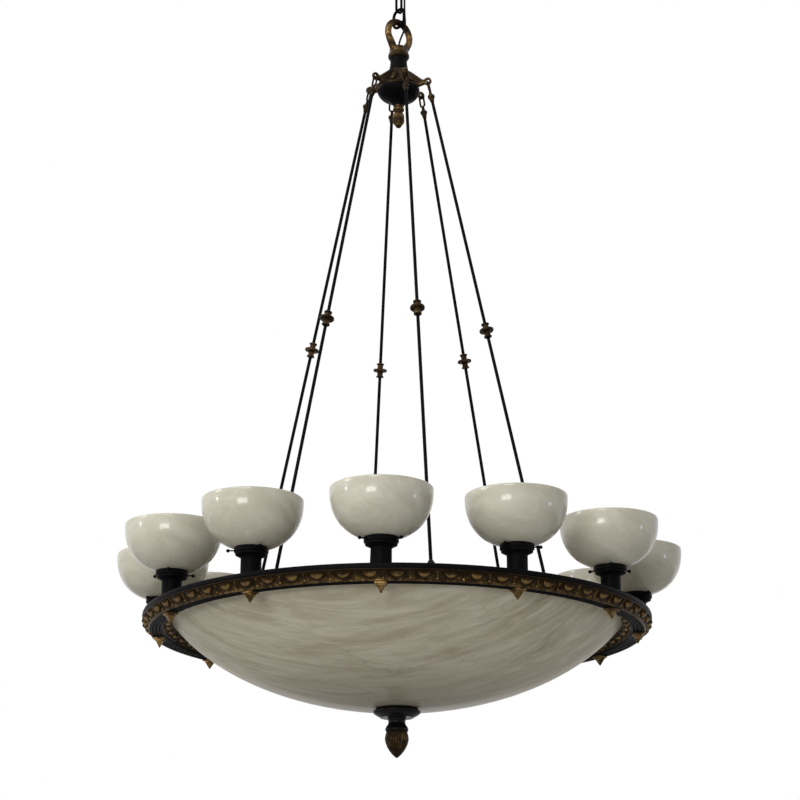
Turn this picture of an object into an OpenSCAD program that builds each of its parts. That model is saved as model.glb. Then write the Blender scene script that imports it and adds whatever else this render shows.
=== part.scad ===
// Auditorium chandelier: a large alabaster bowl in a bronze and black ring, twelve
// upturned alabaster shades on the ring, and six jointed rods to a hub on a short chain.
// Millimetres, +Z up, origin at the centre of the ceiling plate's upper face.

/* [Ceiling fitting] */
// Diameter of the steel ceiling plate
plate_d = 150; // [130:1:160]
// Thickness of the ceiling plate
plate_t = 8; // [5:0.5:12]
// Diameter of the boss that takes the eye bolt
plate_boss_d = 34; // [28:1:36]
// Height of the boss below the plate
plate_boss_h = 14; // [10:1:20]
// Circle of the four fixing holes
mount_pcd = 110; // [90:1:120]
// Diameter of each fixing hole
mount_hole_d = 11; // [6:0.5:14]
// Outer diameter of the canopy at the ceiling
canopy_d = 172; // [166:1:220]
// Height of the canopy below the ceiling
canopy_h = 50; // [46:1:52]
// Wall of the spun canopy
canopy_wall = 2; // [1:0.1:3]
// Diameter of the canopy's flat bottom
canopy_flat_d = 80; // [76:1:96]
// Diameter of the eye bolt's shank
eye_shank_d = 16; // [12:1:20]
// Diameter of the nut that holds the canopy up
canopy_nut_d = 28; // [24:1:32]
// Height of the canopy nut
canopy_nut_h = 8; // [6:1:10]
// Outer height of the eye bolt's ring
eye_ring_h = 52; // [50:1:54]
// Outer width of the eye bolt's ring
eye_ring_w = 52; // [46:1:64]
// Wire of the eye bolt's ring
eye_wire = 9.5; // [8:0.5:10]

/* [Chain] */
// Outer length of the upper link
upper_link_l = 76; // [72:1:80]
// Outer width of the upper link
upper_link_w = 31; // [30:0.5:33]
// Wire of the upper link
upper_link_wire = 8.5; // [7.5:0.5:9]
// Outer length of the lower link
lower_link_l = 76; // [72:1:80]
// Outer width of the lower link
lower_link_w = 62; // [56:1:70]
// Wire of the lower link
lower_link_wire = 10; // [8.5:0.5:11]
// Clearance between two linked pieces
link_gap = 0.3; // [0.2:0.1:0.6]
// Length of the straight bearing stretch in the middle of each link's ends
link_seat_l = 5; // [3:0.5:6]
// Turn of the loop's plane from the +X axis, in degrees
chain_turn = 30; // [0:1:60]

/* [Loop and hub] */
// Outer width of the cast suspension loop
loop_w = 117; // [108:1:126]
// Tube of the suspension loop
loop_tube = 22; // [18:0.5:24]
// Angle below level at which the loop's legs leave its round
loop_leg_angle = 30; // [24:1:38]
// Height from the loop's top centreline to the foot of its base
loop_drop = 138; // [132:1:146]
// Diameter of the loop's base
loop_base_d = 62; // [58:1:70]
// Height of the loop's base, band and collar together
loop_base_h = 41; // [38:1:46]
// Diameter of the collar at the base's foot
loop_collar_d = 71; // [66:1:80]
// Hole for the power cord
cord_hole_d = 9; // [8:0.5:10]
// Height of the hub's black neck
neck_h = 48; // [40:1:60]
// Diameter of the neck
neck_d = 56; // [50:1:60]
// Height of the bronze crown
crown_h = 70; // [60:1:80]
// Diameter of the crown's lower rim
crown_d = 139; // [134:1:144]
// Width of a crown arm at its eye
crown_arm_w = 14; // [12:0.5:18]
// Height of the black bell below the crown
bell_h = 57; // [50:1:66]
// Diameter of the bell at its top
bell_d = 140; // [130:1:146]
// Height of the hub's lower finial
hub_finial_h = 81; // [70:1:95]
// Diameter of the hub's lower finial
hub_finial_d = 39; // [36:1:50]
// Circle of the six hub eyes
hub_eye_circle_d = 202; // [198:1:206]
// Height of the hub eyes' centres above the crown's lower rim
hub_eye_rise = 18; // [16:1:20]
// Hole of a hub eye
hub_eye_hole_d = 13; // [12.5:0.5:14]
// Thickness of a hub eye round its hole
hub_eye_wire = 7; // [6:0.5:7.5]
// Width of a hub eye, along its hole
hub_eye_w = 10; // [8:0.5:10.5]
// Diameter of the hollow tie rod through the hub
tie_rod_d = 19; // [16:1:22]

/* [Suspension rods] */
// Outer diameter of a rod
rod_d = 10.3; // [8:0.1:12]
// Outer length of the oval eye at the rod's top
rod_eye_l = 43; // [38:1:50]
// Outer width of the oval eye
rod_eye_w = 25.5; // [24:0.5:28]
// Wire of the oval eye
rod_eye_wire = 6.5; // [5.5:0.5:6.5]
// Diameter of the ferrule's disc
ferrule_d = 23; // [20:0.5:30]
// Height of the drop from the hub eyes to the ring's top face
hub_to_ring = 1808; // [1500:1:2200]
// Radius at which a rod meets its foot
foot_r = 468; // [420:1:520]
// Height of the rod's foot above the ring's top face
foot_rise = 67; // [50:1:80]
// Distance from a hub eye to the middle of its knop, along the rod
knop_s = 925; // [600:1:1100]
// Length of a knop
knop_l = 47; // [40:1:60]
// Diameter of a knop's large disc
knop_d = 45; // [36:1:60]
// Diameter of a knop's end discs
knop_end_d = 25; // [20:1:30]
// Diameter of a bronze foot cone
cone_d = 24; // [20:1:30]
// Height of a foot cone along the rod
cone_h = 12; // [8:1:20]

/* [Ring] */
// Outer diameter of the ring
ring_d = 1524; // [1516:1:1536]
// Height of the black top rail
rail_h = 15; // [12:1:17]
// Height of the outer bronze band, from the rail to the underside
band_h = 30; // [27:1:40]
// Thickness of the reeded underside
soffit_t = 7; // [5:0.5:8]
// Thickness of the top rail's plate
rail_plate_t = 5; // [3:0.5:7]
// Width of the top rail, from its outer edge to its bore
rail_w = 68; // [60:1:80]
// Reach of the ledge that carries the bowl, inwards from the rail's bore
ledge_reach = 18; // [14:1:24]
// Thickness of the ledge
ledge_t = 4; // [3:0.5:6]
// Distance from the rail's bore to the steel channel, on whose middle the lamps stand
channel_setback = 8; // [7:0.5:12]
// Outside width of the steel channel
channel_w = 36; // [34:1:38]
// Wall of the steel channel
channel_wall = 4; // [3:0.5:4.5]
// Number of reeds on the underside
reeds = 4; // [3:1:6]
// Diameter of the wiring loom in the channel
loom_d = 6.5; // [5:0.5:7]
// Diameter of the threaded tube through each lamp
nipple_d = 13; // [10:0.5:13]
// Width of a drop finial's plate
drop_w = 33; // [28:1:38]
// Height of a drop finial
drop_h = 29; // [24:0.5:40]

/* [Shades] */
// Outer diameter of a shade
shade_d = 280; // [240:1:300]
// Height of a shade from its seat to the middle of its lip
shade_h = 136; // [125:1:160]
// Wall of a shade
shade_wall = 9; // [7:0.5:10]
// Fullness of the shade's curve, where 2 is an ellipse
shade_full = 2.3; // [2:0.1:2.6]
// Diameter of the shade's neck
shade_neck_d = 82; // [80:1:84]
// Height from the ring's top face to the fitter's gallery floor
gallery_rise = 64; // [56:1:80]
// Depth of the fitter's gallery
gallery_h = 11.5; // [9:0.5:11.5]
// Outer diameter of the fitter's gallery
gallery_d = 94; // [92:1:94]
// Diameter of the fitter's stem
stem_d = 57; // [52:1:64]
// Distance from a lamp's axis to a thumbscrew's ball
thumb_reach = 64; // [58:1:70]
// Diameter of a thumbscrew's ball
thumb_ball_d = 10; // [8:0.5:12]

/* [Bowl] */
// Depth of the bowl below the ledge
bowl_depth = 248; // [200:1:300]
// Height of the bowl curve's centre above the ledge
bowl_rise = 217; // [120:1:260]
// Wall of the bowl
bowl_wall = 14; // [12:0.5:18]
// Clearance between the bowl and the ledge's bore
bowl_gap = 2.1; // [1.5:0.1:4]
// Height of the bowl's rim above its felt
bowl_rim_h = 12; // [8:0.5:12.5]
// Thickness of the felt under the rim
felt_t = 2; // [1:0.5:2.5]

/* [Frame and centre] */
// Height of a spider arm
arm_h = 20; // [14:1:24]
// Width of a spider arm
arm_w = 26; // [24:1:34]
// Gap between the arms and the ring's top face
arm_lift = 2; // [1:0.5:4]
// Diameter of the spider's centre boss
boss_d = 120; // [90:1:160]
// Diameter of the centre tube
centre_d = 27; // [24:1:30]
// Wall of the centre tube
centre_wall = 3; // [2:0.5:5]
// Width across flats of the centre tube's nuts
centre_nut_w = 40; // [36:1:46]
// Height of the centre tube's nuts
centre_nut_h = 10; // [8:1:11]
// Depth of the lamp cluster's middle below the ring's top face
cluster_drop = 55; // [45:1:80]
// Diameter of the collar under the bowl
collar_d = 143; // [130:1:170]
// Height of the collar
collar_h = 28; // [24:1:36]
// Height of the black neck below the collar
finial_neck_h = 40; // [30:1:50]
// Diameter of the bottom acorn
acorn_d = 71; // [64:1:80]
// Height of the bottom acorn
acorn_h = 78; // [60:1:100]

/* [Hidden] */

$fn = 72;
// Radial clearance of a turned fit
fit = 0.1;
// Clearance of a free hole round its bolt
slip = 0.4;
rods = 6;
lamps = 12;
cluster_lamps = 6;

// Levels down the chain, each a centreline where a wire is meant
shank_top_z = -2.5;
eye_top_z = -canopy_h - canopy_nut_h - 2;
eye_bar_z = eye_top_z - eye_ring_h + eye_wire / 2;
ul_top_z = eye_bar_z + (eye_wire + upper_link_wire) / 2 + link_gap;
ul_bot_z = ul_top_z - (upper_link_l - upper_link_wire);
ll_top_z = ul_bot_z + (upper_link_wire + lower_link_wire) / 2 + link_gap;
ll_bot_z = ll_top_z - (lower_link_l - lower_link_wire);
loop_top_z = ll_bot_z + (lower_link_wire + loop_tube) / 2 + link_gap;
loop_r = (loop_w - loop_tube) / 2;
loop_leg_step = 1.5;
neck_top_z = loop_top_z - loop_drop;
crown_top_z = neck_top_z - neck_h;
crown_bot_z = crown_top_z - crown_h;
bell_bot_z = crown_bot_z - bell_h;
hub_eye_z = crown_bot_z + hub_eye_rise;
ring_z = hub_eye_z - hub_to_ring;

// Rod geometry
hub_eye_r = hub_eye_circle_d / 2;
hub_eye_ring_r = (hub_eye_hole_d + hub_eye_wire) / 2;
rod_run = foot_r - hub_eye_r;
rod_fall = hub_to_ring - foot_rise;
rod_tilt = atan2(rod_run, rod_fall);
rod_len = norm([rod_run, rod_fall]);
rod_eye_top = hub_eye_hole_d / 2 - rod_eye_wire / 2 - link_gap;
rod_eye_len_c = rod_eye_l - rod_eye_wire;
ferrule_s = rod_eye_top + rod_eye_len_c + rod_eye_wire / 2;
ferrule_neck_l = 14;
ferrule_disc_t = 9;
ferrule_cone_l = 14;
ferrule_end_s = ferrule_s + ferrule_neck_l + ferrule_disc_t + ferrule_cone_l;
rod_embed = 20;
rod_in_socket = 26;
socket_wall = 5.5;

// Ring levels below its top face
ring_r = ring_d / 2;
soffit_z = -rail_h - band_h;
band_z = soffit_z + soffit_t;
ring_bore_r = ring_r - rail_w;
channel_in = ring_bore_r + channel_setback;
channel_out = channel_in + channel_w;
lamp_r = channel_in + channel_w / 2;
ledge_z = -rail_h - 1;
ledge_r = ring_bore_r - ledge_reach;
rail_lip_w = 12;
band_out_top = ring_r - 2;
band_out_foot = channel_out + 2.5;
band_in_foot = channel_in - 2;
bolt_d = 8;
bolt_spread = 14;
bolt_r = channel_in + channel_wall + 7.5;
nut_t = 5;
head_t = 4;
foot_plate_t = 5;
foot_plate_w = 46;
foot_plate_end = bolt_r + 10;
foot_plate_start = ring_bore_r - 14;
drop_plate_t = 5;
drop_neck_t = 4;
drop_bore = 9;

// Bowl curve: an ellipse through the ledge's bore, its centre bowl_rise above the ledge
bowl_b = bowl_depth + bowl_rise;
bowl_mouth_r = ledge_r - bowl_gap;
bowl_a = bowl_mouth_r / sqrt(1 - pow(bowl_rise / bowl_b, 2));
bowl_centre_z = ledge_z + bowl_rise;
bowl_bottom_z = ledge_z - bowl_depth;
bowl_seat_z = ledge_z + felt_t;
bowl_rim_r = ring_bore_r - 3;
bowl_hole_r = centre_d / 2 + 3;
felt_in = ledge_r + 4;

// Shades and fitters
shade_r = shade_d / 2;
shade_seat_z = gallery_rise;
shade_low_z = gallery_rise + 8;
neck_r = shade_neck_d / 2;
shade_hole_r = 28;
stem_r = stem_d / 2;
stem_wall = 3;
gallery_r = gallery_d / 2;
gallery_wall = 2.5;
nipple_top_z = 12;
socket_r = 19;
socket_h = 58;
socket_bore_r = 13.4;
bulb_base_r = 13.2;
bulb_base_h = 24;
bulb_r = 30;
bulb_l = 102;
thumb_rise = 5.5;
thumb_d = 4;

// Centre of the bowl
boss_h = arm_h + 6;
arm_z = arm_lift;
centre_top_z = arm_z + boss_h + centre_nut_h + 4;
cluster_r = 45;
cluster_h = 40;
collar_top_z = bowl_bottom_z + 1.2;
collar_bot_z = collar_top_z - collar_h;
neck_bot_z = collar_bot_z - finial_neck_h;
centre_bot_z = neck_bot_z + 12;
washer_r = 45;
pad_r = 34;
pad_t = 5;

// Power cord, chosen by hand in the loop's own directions: along the loop, across it, height
cord_d = 6.5;
cord_sides = 10;
cord_top_route = [[24, -18, -27], [24, -18, -40], [24, -18, -57], [21.5, -16.2, -70],
    [18.5, -14, -84], [16, -12.5, -100], [15, -12, -116], [15, -12, -134]];
cord_mid_route = [[15, -12, -134], [15, -12, -152], [15, -13, -172], [15, -14.5, -190]];
cord_low_route = [[15, -14.5, -190], [15, -15.25, -199], [15, -15.6, -208], [15, -14.6, -219],
    [14, -12.4, -230], [11.5, -9, -243], [8, -5.5, -256], [4, -2.5, -271], [1, -0.8, -286],
    [0, 0, -298], [0, 0, -314], [0, 0, -332]];
cord_exit = [24, -18];

bronze = [0.42, 0.30, 0.13];
black = [0.07, 0.07, 0.08];
steel = [0.45, 0.46, 0.48];
alabaster = [0.83, 0.81, 0.74];
porcelain = [0.92, 0.92, 0.90];
rubber = [0.12, 0.12, 0.12];

// Points on an arc about c, from angle a0 to a1
function arc_pts(c, r, a0, a1, n) =
    [for (i = [0 : n]) c + r * [cos(a0 + (a1 - a0) * i / n), sin(a0 + (a1 - a0) * i / n)]];

// Radius of the bowl's ellipse at height z, with both half axes smaller by inset
function bowl_r_at(z, inset) =
    (bowl_a - inset) * sqrt(1 - pow((z - bowl_centre_z) / (bowl_b - inset), 2));

// Height of the bowl's ellipse at radius r, with both half axes smaller by inset
function bowl_z_at(r, inset) =
    bowl_centre_z - (bowl_b - inset) * sqrt(1 - pow(r / (bowl_a - inset), 2));

// Radius of a shade's curve at height z above the ring, for a curve with its own size and foot
function shade_r_at(z, r, low) =
    r * pow(1 - pow((lip_z - z) / (lip_z - low), shade_full), 1 / shade_full);

lip_z = shade_low_z + shade_h;
inner_pad_z = bowl_z_at(washer_r, bowl_wall) + link_gap;

// Puts a child at every rod's azimuth, with +X pointing outwards
module at_rods() {
    for (i = [0 : rods - 1]) rotate([0, 0, -90 + i * 360 / rods]) children();
}

// Puts a child at a rod's hub eye, with -Z running down along the rod
module at_rod_axes() {
    at_rods() translate([hub_eye_r, 0, hub_eye_z]) rotate([0, -rod_tilt, 0]) children();
}

// Puts a child on the axis of lamp i, at the height of the ring's top face, +X outwards
module at_lamp(i) {
    rotate([0, 0, -90 + (i - 0.5) * 360 / lamps]) translate([lamp_r, 0, ring_z]) children();
}

module at_lamps() {
    for (i = [1 : lamps]) at_lamp(i) children();
}

// Puts a child at the ring's level
module at_ring() {
    translate([0, 0, ring_z]) children();
}

// A solid of revolution from its half outline
module turned(points) {
    rotate_extrude() polygon(points);
}

// A closed oval of wire in the XZ plane, sized on its centreline, with flat middles at its ends
module wire_link(len_c, wid_c, wire) {
    corner = (wid_c - link_seat_l) / 2;
    half_l = len_c / 2 - corner;
    half_w = link_seat_l / 2;
    rotate([90, 0, 0]) {
        for (sx = [0, 1], sy = [0, 1])
            mirror([sx, 0, 0]) mirror([0, sy, 0]) translate([half_w, half_l, 0])
                rotate_extrude(angle = 90) translate([corner, 0]) circle(d = wire);
        for (s = [-1, 1]) {
            translate([s * wid_c / 2, 0, 0]) rotate([90, 0, 0])
                cylinder(h = 2 * half_l, d = wire, center = true);
            translate([0, s * len_c / 2, 0]) rotate([0, 90, 0])
                cylinder(h = 2 * half_w, d = wire, center = true);
        }
    }
}

// A cord swept along its route as one closed skin
module cord_tube(route) {
    n = len(route);
    dir = function(i) let (a = route[max(i - 1, 0)], b = route[min(i + 1, n - 1)]) (b - a) / norm(b - a);
    side = function(i) let (c = cross(dir(i), [0, 1, 0])) c / norm(c);
    up = function(i) cross(side(i), dir(i));
    skin = [for (i = [0 : n - 1], k = [0 : cord_sides - 1])
        let (t = 360 * k / cord_sides) route[i] + cord_d / 2 * (cos(t) * side(i) + sin(t) * up(i))];
    walls = [for (i = [0 : n - 2], k = [0 : cord_sides - 1])
        let (j = (k + 1) % cord_sides)
        [i * cord_sides + k, i * cord_sides + j, (i + 1) * cord_sides + j, (i + 1) * cord_sides + k]];
    first = [for (k = [cord_sides - 1 : -1 : 0]) k];
    last = [for (k = [0 : cord_sides - 1]) (n - 1) * cord_sides + k];
    rotate([0, 0, chain_turn]) polyhedron(skin, concat(walls, [first, last]));
}

// Hexagonal nut or head, standing on z = 0
module hex_nut(across, h, bore_d) {
    difference() {
        cylinder(h = h, d = across / cos(30), $fn = 6);
        if (bore_d > 0) translate([0, 0, -1]) cylinder(h = h + 2, d = bore_d);
    }
}

module ceiling_plate() {
    color(steel) difference() {
        union() {
            translate([0, 0, -plate_t]) cylinder(h = plate_t, d = plate_d);
            translate([0, 0, -plate_t - plate_boss_h]) cylinder(h = plate_boss_h, d = plate_boss_d);
        }
        translate([0, 0, -plate_t - plate_boss_h - 1])
            cylinder(h = shank_top_z + fit + plate_t + plate_boss_h + 1, d = eye_shank_d + 2 * fit);
        for (a = [45 : 90 : 315]) rotate([0, 0, a]) translate([mount_pcd / 2, 0, -plate_t - 1])
            cylinder(h = plate_t + 2, d = mount_hole_d);
    }
}

module ceiling_eye_bolt() {
    shank_low = eye_top_z - eye_wire / 2;
    color(black) {
        rotate([0, 0, chain_turn + 90])
            translate([0, 0, eye_top_z - eye_ring_h / 2])
                wire_link(eye_ring_h - eye_wire, eye_ring_w - eye_wire, eye_wire);
        translate([0, 0, shank_low]) cylinder(h = shank_top_z - shank_low, d = eye_shank_d);
    }
}

module ceiling_canopy() {
    r = canopy_d / 2;
    rf = canopy_flat_d / 2;
    w = canopy_wall;
    bend = 12;
    color(black) difference() {
        turned([[r, 0], [r, -6], [r - 4, -14], [rf + bend, -canopy_h + 5], [rf + bend / 2, -canopy_h + 1],
            [rf, -canopy_h], [eye_shank_d / 2 + slip, -canopy_h], [eye_shank_d / 2 + slip, -canopy_h + w],
            [rf, -canopy_h + w], [rf + bend / 2 - 0.5, -canopy_h + 1 + w],
            [rf + bend - 1, -canopy_h + 5 + w], [r - 4 - w, -14 + w], [r - w, -6], [r - w, 0]]);
        rotate([0, 0, chain_turn]) translate([cord_exit[0], cord_exit[1], -canopy_h - 1])
            cylinder(h = w + 2, d = cord_d + 4);
    }
}

module canopy_nut() {
    r = canopy_nut_d / 2;
    color(bronze) difference() {
        translate([0, 0, -canopy_h]) turned([[0, 0], [r, 0], [r, -canopy_nut_h / 2],
            [r - 3, -canopy_nut_h], [0, -canopy_nut_h]]);
        translate([0, 0, -canopy_h - canopy_nut_h - 1])
            cylinder(h = canopy_nut_h + 2, d = eye_shank_d + 2 * fit);
    }
}

module cord_bush() {
    bore = cord_d / 2 + slip / 2;
    neck = cord_d / 2 + 2 - fit;
    lip = neck + 2;
    lip_t = 2;
    color(rubber) rotate([0, 0, chain_turn]) translate([cord_exit[0], cord_exit[1], -canopy_h])
        turned([[bore, -lip_t], [lip, -lip_t], [lip, 0], [neck, 0], [neck, canopy_wall],
            [lip, canopy_wall], [lip, canopy_wall + lip_t], [bore, canopy_wall + lip_t]]);
}

module terminal_block() {
    block = [18, 14, 19];
    color(porcelain) rotate([0, 0, chain_turn])
        translate([cord_exit[0] - block[0] / 2, cord_exit[1] - block[1] / 2, -plate_t - block[2]])
            cube(block);
}

module chain_link_upper() {
    color(black) rotate([0, 0, chain_turn]) translate([0, 0, (ul_top_z + ul_bot_z) / 2])
        wire_link(upper_link_l - upper_link_wire, upper_link_w - upper_link_wire, upper_link_wire);
}

module chain_link_lower() {
    color(black) rotate([0, 0, chain_turn + 90]) translate([0, 0, (ll_top_z + ll_bot_z) / 2])
        wire_link(lower_link_l - lower_link_wire, lower_link_w - lower_link_wire, lower_link_wire);
}

module power_cord_top() {
    color(black) cord_tube(cord_top_route);
}

module power_cord_middle() {
    color(black) cord_tube(cord_mid_route);
}

module power_cord_bottom() {
    color(black) cord_tube(cord_low_route);
}

module suspension_loop() {
    leg_x = loop_r * cos(loop_leg_angle);
    leg_z = loop_top_z - loop_r - loop_r * sin(loop_leg_angle);
    leg_l = (leg_z - neck_top_z - loop_base_h + 8.5) / cos(loop_leg_angle);
    collar_r = loop_collar_d / 2;
    leg_top_d = loop_tube + loop_leg_step;
    base_r = loop_base_d / 2;
    bore_top = neck_top_z + loop_base_h - 5;
    color(bronze) difference() {
        union() {
            rotate([0, 0, chain_turn]) {
                translate([0, 0, loop_top_z - loop_r]) rotate([90, 0, 0])
                    rotate([0, 0, -loop_leg_angle]) rotate_extrude(angle = 180 + 2 * loop_leg_angle)
                        translate([loop_r, 0]) circle(d = loop_tube);
                for (s = [0, 1]) mirror([s, 0, 0]) translate([leg_x, 0, leg_z])
                    rotate([0, 180 + loop_leg_angle, 0]) translate([0, 0, -loop_leg_step])
                        cylinder(h = leg_l + loop_leg_step, d1 = leg_top_d, d2 = loop_tube + 4);
            }
            translate([0, 0, neck_top_z]) turned([[0, 0], [collar_r - 6, 0], [collar_r - 2, 2.5],
                [collar_r, 7], [collar_r, 12], [collar_r - 1.5, 17], [base_r + 1, 20], [base_r, 23],
                [base_r, loop_base_h - 6], [base_r - 2, loop_base_h - 2], [base_r - 8, loop_base_h],
                [0, loop_base_h]]);
        }
        translate([0, 0, neck_top_z - 1]) cylinder(h = bore_top - neck_top_z + 1, d = tie_rod_d + 2 * fit);
        translate([0, 0, neck_top_z]) cylinder(h = loop_base_h + 4, d = cord_hole_d);
    }
}

module hub_neck() {
    nr = neck_d / 2;
    color(black) difference() {
        translate([0, 0, neck_top_z]) turned([[0, 0], [nr, 0], [nr, -neck_h + 30],
            [nr + 1.3, -neck_h + 20], [nr + 3, -neck_h + 11], [nr + 5, -neck_h], [0, -neck_h]]);
        translate([0, 0, crown_top_z - 1]) cylinder(h = neck_h + 2, d = tie_rod_d + 2 * fit);
    }
}

// A six-armed cone: each arm is cut from a side outline and a plan outline, and ends in an eye
module hub_crown() {
    top_r = neck_d / 2 + 5;
    rim_r = crown_d / 2;
    fall = rim_r - top_r;
    arm_in = tie_rod_d / 2 + 4;
    arm_end = hub_eye_r - hub_eye_ring_r + 1;
    eye_half = hub_eye_wire / 2;
    side_half = hub_eye_w / 2;
    color(bronze) difference() {
        union() {
            translate([0, 0, crown_bot_z]) turned([[0, 0], [rim_r, 0], [rim_r, 4],
                [rim_r - fall * 0.10, crown_h * 0.12], [rim_r - fall * 0.32, crown_h * 0.30],
                [rim_r - fall * 0.60, crown_h * 0.55], [rim_r - fall * 0.84, crown_h * 0.78],
                [top_r + 1, crown_h - 5], [top_r, crown_h], [0, crown_h]]);
            at_rods() {
                intersection() {
                    translate([0, 20, hub_eye_z]) rotate([90, 0, 0]) linear_extrude(40)
                        polygon([[arm_in, -12], [rim_r - 6, -12], [rim_r + 8, -10], [arm_end, -6],
                            [arm_end, 5], [rim_r + 9, 9], [rim_r - 14, 30], [top_r + 1, crown_h * 0.72 - 2],
                            [arm_in, crown_h * 0.72 - 2]]);
                    translate([0, 0, crown_bot_z]) linear_extrude(crown_h)
                        polygon([[arm_in, -13], [rim_r - 20, -13], [rim_r + 8, -crown_arm_w / 2],
                            [arm_end, -crown_arm_w / 2], [arm_end, crown_arm_w / 2],
                            [rim_r + 8, crown_arm_w / 2], [rim_r - 20, 13], [arm_in, 13]]);
                }
                translate([hub_eye_r, 0, hub_eye_z]) rotate([90, 0, 0]) rotate_extrude()
                    translate([hub_eye_ring_r, 0]) polygon([[-eye_half, 2 - side_half],
                        [1.5 - eye_half, -side_half], [eye_half - 1.5, -side_half],
                        [eye_half, 2 - side_half], [eye_half, side_half - 2],
                        [eye_half - 1.5, side_half], [1.5 - eye_half, side_half],
                        [-eye_half, side_half - 2]]);
            }
        }
        translate([0, 0, crown_bot_z - 1]) cylinder(h = crown_h + 2, d = tie_rod_d + 2 * fit);
    }
}

module hub_bell() {
    low_r = hub_finial_d / 2 - 1;
    reach = bell_d / 2 - low_r;
    color(black) difference() {
        translate([0, 0, crown_bot_z]) turned([[0, 0], [low_r + reach - 1, 0], [low_r + reach, -3],
            [low_r + reach, -bell_h * 0.14], [low_r + reach * 0.95, -bell_h * 0.23],
            [low_r + reach * 0.88, -bell_h * 0.33], [low_r + reach * 0.77, -bell_h * 0.44],
            [low_r + reach * 0.66, -bell_h * 0.51], [low_r + reach * 0.50, -bell_h * 0.58],
            [low_r + reach * 0.35, -bell_h * 0.65], [low_r + reach * 0.19, -bell_h * 0.74],
            [low_r + reach * 0.06, -bell_h * 0.86], [low_r, -bell_h * 0.95], [low_r, -bell_h],
            [0, -bell_h]]);
        translate([0, 0, bell_bot_z - 1]) cylinder(h = bell_h + 2, d = tie_rod_d + 2 * fit);
    }
}

module hub_finial() {
    r = hub_finial_d / 2;
    h = hub_finial_h;
    bore = 24;
    color(bronze) difference() {
        translate([0, 0, bell_bot_z]) turned(concat([[0, 0], [r - 3, 0], [r - 4, -6], [r - 2, -9],
            [r - 0.5, -13], [r - 1, -17], [r - 5, -20], [r - 6, -26], [r - 3, -30], [r - 1, -34]],
            arc_pts([0, -h + r * 1.35], r, 0, -45, 6),
            [[r * 0.42, -h + 4], [r * 0.2, -h + 1], [0, -h]]));
        translate([0, 0, bell_bot_z - bore]) cylinder(h = bore + 1, d = tie_rod_d + 2 * fit);
    }
}

module hub_tie_rod() {
    low = bell_bot_z - 22;
    color(steel) difference() {
        translate([0, 0, low]) cylinder(h = neck_top_z + loop_base_h - 6 - low, d = tie_rod_d);
        translate([0, 0, low - 1]) cylinder(h = neck_top_z - low + loop_base_h, d = cord_hole_d);
    }
}

module rod_eyes() {
    fr = ferrule_d / 2;
    disc_low = ferrule_neck_l + ferrule_disc_t;
    color(bronze) at_rod_axes() difference() {
        union() {
            rotate([0, 0, 90]) translate([0, 0, -rod_eye_top - rod_eye_len_c / 2])
                wire_link(rod_eye_len_c, rod_eye_w - rod_eye_wire, rod_eye_wire);
            translate([0, 0, -ferrule_s]) turned([[0, 2], [4.5, 2], [5, -4], [7, -ferrule_neck_l],
                [fr, -ferrule_neck_l], [fr, 1 - disc_low], [fr - 1, -disc_low],
                [rod_d / 2 + 4, -disc_low], [rod_d / 2 + 1.2, ferrule_s - ferrule_end_s],
                [0, ferrule_s - ferrule_end_s]]);
        }
        translate([0, 0, -ferrule_end_s - 1]) cylinder(h = rod_embed + 1, d = rod_d + 2 * fit);
    }
}

module upper_rods() {
    top_s = ferrule_end_s - rod_embed + fit;
    color(black) at_rod_axes() translate([0, 0, -knop_s + 1])
        cylinder(h = knop_s - 1 - top_s, d = rod_d);
}

module rod_knops() {
    half = knop_l / 2;
    er = knop_end_d / 2;
    kr = knop_d / 2;
    barrel = rod_d / 2 + 4.2;
    color(bronze) at_rod_axes() translate([0, 0, -knop_s]) difference() {
        turned([[0, half], [er - 1, half], [er, half - 1], [er, half - 4], [barrel, half - 6],
            [barrel, 8], [barrel + 3, 5], [kr - 2, 4.5], [kr, 2.5], [kr, -2.5], [kr - 2, -4.5],
            [barrel + 3, -5], [barrel, -8], [barrel, -half + 6], [er, -half + 4], [er, -half + 1],
            [er - 1, -half], [0, -half]]);
        translate([0, 0, -half - 1]) cylinder(h = knop_l + 2, d = rod_d + 2 * fit);
    }
}

module lower_rods() {
    color(black) at_rod_axes() translate([0, 0, -rod_len - rod_in_socket])
        cylinder(h = rod_len + rod_in_socket - knop_s - 1, d = rod_d);
}

module rod_foot_cones() {
    color(bronze) at_rod_axes() translate([0, 0, -rod_len]) difference() {
        turned([[0, 0], [cone_d / 2, 0], [cone_d / 2, 2], [rod_d / 2 + 1.2, cone_h], [0, cone_h]]);
        translate([0, 0, -1]) cylinder(h = cone_h + 2, d = rod_d + 2 * fit);
    }
}

module ring_top_rail() {
    color(black) difference() {
        at_ring() turned([[ring_bore_r, ledge_z], [channel_in, ledge_z], [channel_in, -rail_plate_t],
            [ring_r - rail_lip_w, -rail_plate_t], [ring_r - rail_lip_w, -rail_h], [ring_r - 3, -rail_h],
            [ring_r - 0.8, -rail_h + 1.2], [ring_r, -rail_h + 4], [ring_r, -4], [ring_r - 1, -1.2],
            [ring_r - 4, 0], [ring_bore_r, 0]]);
        at_lamps() translate([0, 0, -rail_plate_t - 1])
            cylinder(h = rail_plate_t + 2, d = nipple_d + 2 * fit);
        spider_bolt_holes(-rail_plate_t - 1, rail_plate_t + 2);
    }
}

// Clearance holes for the spider's bolts, from z upwards by h
module spider_bolt_holes(z, h) {
    at_rods() for (s = [-1, 1]) translate([bolt_r, s * bolt_spread, ring_z + z])
        cylinder(h = h, d = bolt_d + slip);
}

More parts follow.
